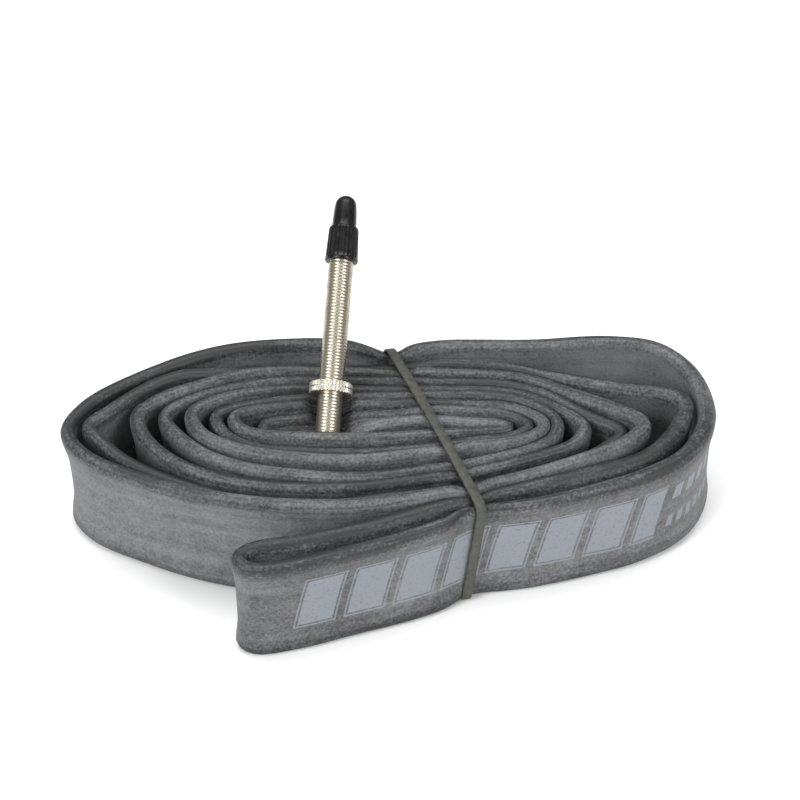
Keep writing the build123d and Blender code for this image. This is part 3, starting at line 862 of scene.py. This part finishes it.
nut_steps = 144
nut_outline = [
    (3.06, 10.75), (3.3, 10.7), (4.7, 10.7), (4.92, 10.76), (5.02, 10.86), (5.2, 10.98),
    (5.2, 11.9), (5.0, 12.0), (4.9, 12.1), (5.0, 12.2), (5.2, 12.3), (5.2, 13.22), (5.02, 13.34),
    (4.92, 13.44), (4.7, 13.5), (3.3, 13.5), (3.06, 13.45),
]
nut = spun("knurled_rim_nut", nut_outline, nut_steps)
knurled(nut, radius=5.1, depth=0.4, steps=nut_steps, grooved=[(10.9, 11.95), (12.25, 13.3)])
on_valve(nut)
finish_piece(nut, bright_nickel, "rim_nut", "plated_metal", "rim_nut")

cap_steps = 96
cap_outline = [
    (0, 58.3), (1.4, 58.25), (2.12, 57.6), (2.15, 49.8), (3.05, 49.8), (3.05, 43.5), (3.6, 43.5),
    (3.9, 43.58), (4.0, 43.8), (3.99, 44.35), (3.93, 44.6), (3.88, 45.2), (3.62, 51.0),
    (3.56, 51.6), (3.45, 51.98), (3.28, 52.2), (3.06, 52.3), (2.98, 52.5), (2.9, 54.2),
    (2.78, 56.0), (2.68, 57.2),
]
dome_radius = 2.62
dome_height = 2.6
dome_foot = 57.6
for t in np.linspace(0.05, 1.45, 9):
    cap_outline.append((dome_radius * math.cos(t), dome_foot + dome_height * math.sin(t)))
cap_outline.append((0, dome_foot + dome_height))
cap = spun("ribbed_dust_cap", cap_outline, cap_steps)
knurled(cap, radius=3.4, depth=0.2, steps=cap_steps, grooved=[(44.5, 51.7)])
on_valve(cap)
finish_piece(cap, cap_plastic, "cap", "cap_plastic", "dust_cap")

lock_nut_steps = 96
lock_nut_outline = [
    (0.86, 53.3), (1.7, 53.3), (1.88, 53.4), (1.95, 53.55), (1.95, 54.9), (1.85, 55.1), (1.5, 55.3),
    (1.2, 55.5), (0.86, 55.5),
]
lock_nut = spun("knurled_lock_nut", lock_nut_outline, lock_nut_steps)
knurled(lock_nut, radius=1.9, depth=0.14, steps=lock_nut_steps, grooved=[(53.5, 54.95)])
on_valve(lock_nut)
finish_piece(lock_nut, nickel, "lock_nut", "plated_metal", "pin_lock_nut")

# The core's pieces stay as packed, in materials of their own
for node, material in (
    ("core_body", nickel),
    ("core_pin", pin_brass),
    ("seal_retainer", pin_brass),
    ("core_gasket", seal_rubber),
    ("core_seal", seal_rubber),
):
    frame["nodes"][node].data.materials.clear()
    frame["nodes"][node].data.materials.append(material)

# ---------------------------------------------------------------- the rubber band
# The parts of the loop that are the front and the back wall where the band crosses them
front_wall = (0.02, 0.1)
back_wall = (0.18, 0.27)
wall_gap = 0.12
band_off_front = -0.6
band_front_drop = 0.15
band_back_drop = 0.85
band_foot_height = 0.72
corner_reach = 2.2


def on_wall(part, across, height):
    """A point just outside the wall that is a part of the loop, at a place along X."""
    wall = np.flatnonzero((metres > part[0]) & (metres < part[1]))
    wall = wall[np.argsort(stations[wall, 0])]
    off = tube_thick / 2 + wall_gap
    out = [np.interp(across, stations[wall, 0], right[wall, k]) * off for k in (0, 1)]
    depth = np.interp(across, stations[wall, 0], stations[wall, 1])
    return np.array((across + out[0] + shift[0], depth + out[1] + shift[1], height))


front_x = band_front[0] + band_off_front
back_x = band_back[0]
front = on_wall(front_wall, front_x, tube_width - band_front_drop)
front_foot = on_wall(front_wall, front_x + band_foot_shift, band_foot_height)
back = on_wall(back_wall, back_x, tube_width - band_back_drop)
back_foot = on_wall(back_wall, back_x + band_foot_shift, band_foot_height)


def band_path():
    """Points round the band, with rounded corners and a slight arch over the layers."""
    corners = [front_foot, front, back, back_foot]
    path = []
    for k in range(4):
        before, here, after = corners[k - 1], corners[k], corners[(k + 1) % 4]
        enter = here + (before - here) / np.linalg.norm(before - here) * corner_reach
        leave = here + (after - here) / np.linalg.norm(after - here) * corner_reach
        for t in np.linspace(0, 1, 7):
            path.append((1 - t) ** 2 * enter + 2 * t * (1 - t) * here + t**2 * leave)
        gone = after + (here - after) / np.linalg.norm(here - after) * corner_reach
        arch = band_arch if k == 1 else 0
        for t in np.linspace(0, 1, 24)[1:-1]:
            path.append(leave + (gone - leave) * t + (0, 0, arch * math.sin(t * math.pi)))
    return np.array(path)


path = band_path()
middle_of_band = (front + back + front_foot + back_foot) / 4
ahead_band = np.roll(path, -1, 0) - np.roll(path, 1, 0)
ahead_band /= np.linalg.norm(ahead_band, axis=1)[:, None]
across_band = np.cross((back - front), (front_foot - front))
across_band /= np.linalg.norm(across_band)
outward = np.cross(ahead_band, across_band)
outward *= np.sign((outward * (path - middle_of_band)).sum(1))[:, None]
band_section = [
    (-1.2, 0.12), (-1.08, 0.0), (1.08, 0.0), (1.2, 0.12), (1.2, 0.55), (1.05, 0.68), (-1.05, 0.68),
    (-1.2, 0.55),
]
band, at_place, at_corner = swept_ring("flat_rubber_band", len(band_section), len(path))
wide, thick = np.array(band_section)[at_corner].T[..., None]
set_places(band, (path[at_place] + across_band * wide + outward[at_place] * thick) * MM)
clean_up(band, 50)
finish_piece(band, band_rubber, "tube", "band_rubber", "rubber_band")

# ---------------------------------------------------------------- floor, light and camera
bpy.ops.object.select_all(action="DESELECT")
bpy.ops.mesh.primitive_plane_add(size=6, location=(0, 0, -0.0002))
floor = bpy.context.object
floor.name = "pale_floor"
floor_paint = simple_finish("pale_floor_paint", (0.86, 0.86, 0.86), (0.9, 0.9, 0.9), 0.7, 0.8, 4, bump=0.0)
floor.data.materials.append(floor_paint)

# The sky is dimmer in what shines, so that metal and plastic keep their dark sides
sky_strength = 0.53
sky_mirror_loss = -0.2
lamp_aim = Vector((0, 0, 0.02))
world = bpy.data.worlds.new("studio")
bpy.context.scene.world = world
world.use_nodes = True
world.node_tree.nodes["Background"].inputs["Color"].default_value = (1, 1, 1, 1)
mirrored = put(world.node_tree, "ShaderNodeLightPath").outputs["Is Glossy Ray"]
glow = sum_up(world.node_tree, "MULTIPLY_ADD", mirrored, sky_mirror_loss, sky_strength)
world.node_tree.links.new(glow, world.node_tree.nodes["Background"].inputs["Strength"])


def soft_box(name, place, size, power):
    """A rectangular area light pointed at the coil."""
    bpy.ops.object.light_add(type="AREA", location=place)
    lamp = bpy.context.object
    lamp.name = name
    lamp.data.shape = "RECTANGLE"
    lamp.data.size, lamp.data.size_y = size
    lamp.data.energy = power
    lamp.rotation_euler = (lamp_aim - Vector(place)).to_track_quat("-Z", "Y").to_euler()


soft_box("front_left_box", (-0.68, -0.64, 0.7), (0.5, 0.6), 9.5)
soft_box("front_right_box", (0.68, -0.62, 0.6), (0.4, 0.6), 6)
soft_box("overhead_box", (0.0, 0.25, 0.9), (0.9, 0.5), 6.5)

# The camera looks at a point above the coil, in millimetres from the strip's own origin
sight = Vector((2.24, 15.73, 28.0)) + Vector((shift[0], shift[1], 0))
sight_distance = 555.0
elevation = math.radians(40)
sensor_width = 36
lens_per_width = 2.91375
bpy.ops.object.camera_add(rotation=(math.pi / 2 - elevation, 0, 0))
camera = bpy.context.object
camera.location = (sight + Vector((0, -math.cos(elevation), math.sin(elevation))) * sight_distance) * MM
camera.data.sensor_width = sensor_width
camera.data.lens = lens_per_width * sensor_width
camera.data.clip_start = 0.01
bpy.context.scene.camera = camera
bpy.context.scene.view_settings.view_transform = "Standard"
